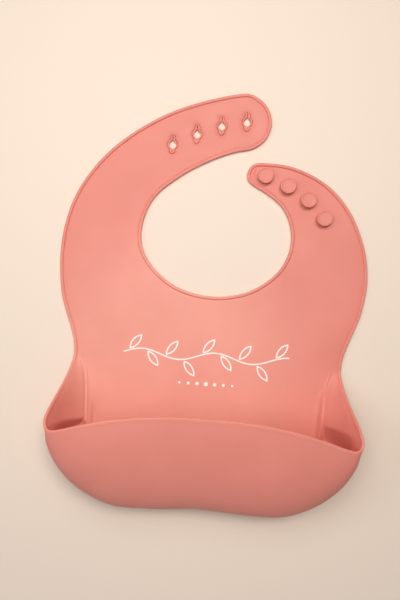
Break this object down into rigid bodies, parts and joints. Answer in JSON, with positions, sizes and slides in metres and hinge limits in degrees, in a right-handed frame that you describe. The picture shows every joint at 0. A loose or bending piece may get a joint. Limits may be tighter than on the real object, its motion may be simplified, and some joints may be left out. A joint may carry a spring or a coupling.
{
  "type": "silicone bib",
  "caption": "Silicone baby bib with a deep crumb catcher, beaded edges and a neck strap that fastens with moulded buttons and slit buttonholes.",
  "frame": {"origin": "centre of the footprint, on the surface that the bib's flat back lies on", "axes": "+Z out of the front, +Y from the catcher to the neck, +X to the right as seen from the front"},
  "size_m": [0.2271, 0.3019, 0.0521],
  "materials": {
    "panel_silicone": "smooth matte silicone, salmon pink",
    "catcher_silicone": "smooth matte silicone, salmon pink",
    "rim_silicone": "smooth matte silicone bead, salmon pink",
    "button_silicone": "smooth matte silicone, salmon pink",
    "ink": "matte white silicone ink"
  },
  "bodies": {
    "panel": {"front_panel": "panel_silicone", "catcher_floor": "catcher_silicone", "left_side_wall": "catcher_silicone", "right_side_wall": "catcher_silicone", "printed_sprig": "ink", "printed_dots": "ink"},
    "catcher": {"catcher_wall": "catcher_silicone", "catcher_lip": "rim_silicone"},
    "hole_strap": {"hole_strap": "panel_silicone"},
    "hole_strap_tip": {"hole_strap_tip": "panel_silicone", "eyelet_1": "rim_silicone", "eyelet_2": "rim_silicone", "eyelet_3": "rim_silicone", "eyelet_4": "rim_silicone"},
    "button_strap": {"button_strap": "panel_silicone"},
    "button_strap_tip": {"button_strap_tip": "panel_silicone", "button_1": "button_silicone", "button_2": "button_silicone", "button_3": "button_silicone", "button_4": "button_silicone"}
  },
  "joints": [
    {"name": "catcher_flex", "type": "hinge", "parent": "panel", "child": "catcher", "pos_m": [0, -0.149, 0.0217], "axis": [1, 0, 0], "range_deg": [-20, 15], "stiffness_Nm_per_rad": 0.4, "springref_deg": 1.15, "deforming": ["left_side_wall", "right_side_wall"]},
    {"name": "hole_strap_bend", "type": "hinge", "parent": "panel", "child": "hole_strap", "pos_m": [-0.078, 0.0172, 0.0008], "axis": [1, 0, 0], "range_deg": [-70, 70], "stiffness_Nm_per_rad": 0.004},
    {"name": "hole_strap_tip_bend", "type": "hinge", "parent": "hole_strap", "child": "hole_strap_tip", "pos_m": [0, 0.0452, 0.0008], "axis": [0.8192, -0.5736, 0], "range_deg": [-60, 60], "stiffness_Nm_per_rad": 0.003},
    {"name": "button_strap_bend", "type": "hinge", "parent": "panel", "child": "button_strap", "pos_m": [0.078, 0.0172, 0.0008], "axis": [1, 0, 0], "range_deg": [-70, 70], "stiffness_Nm_per_rad": 0.004},
    {"name": "button_strap_tip_bend", "type": "hinge", "parent": "button_strap", "child": "button_strap_tip", "pos_m": [0.082, 0.0432, 0.0008], "axis": [1, 0, 0], "range_deg": [-60, 60], "stiffness_Nm_per_rad": 0.003}
  ]
}
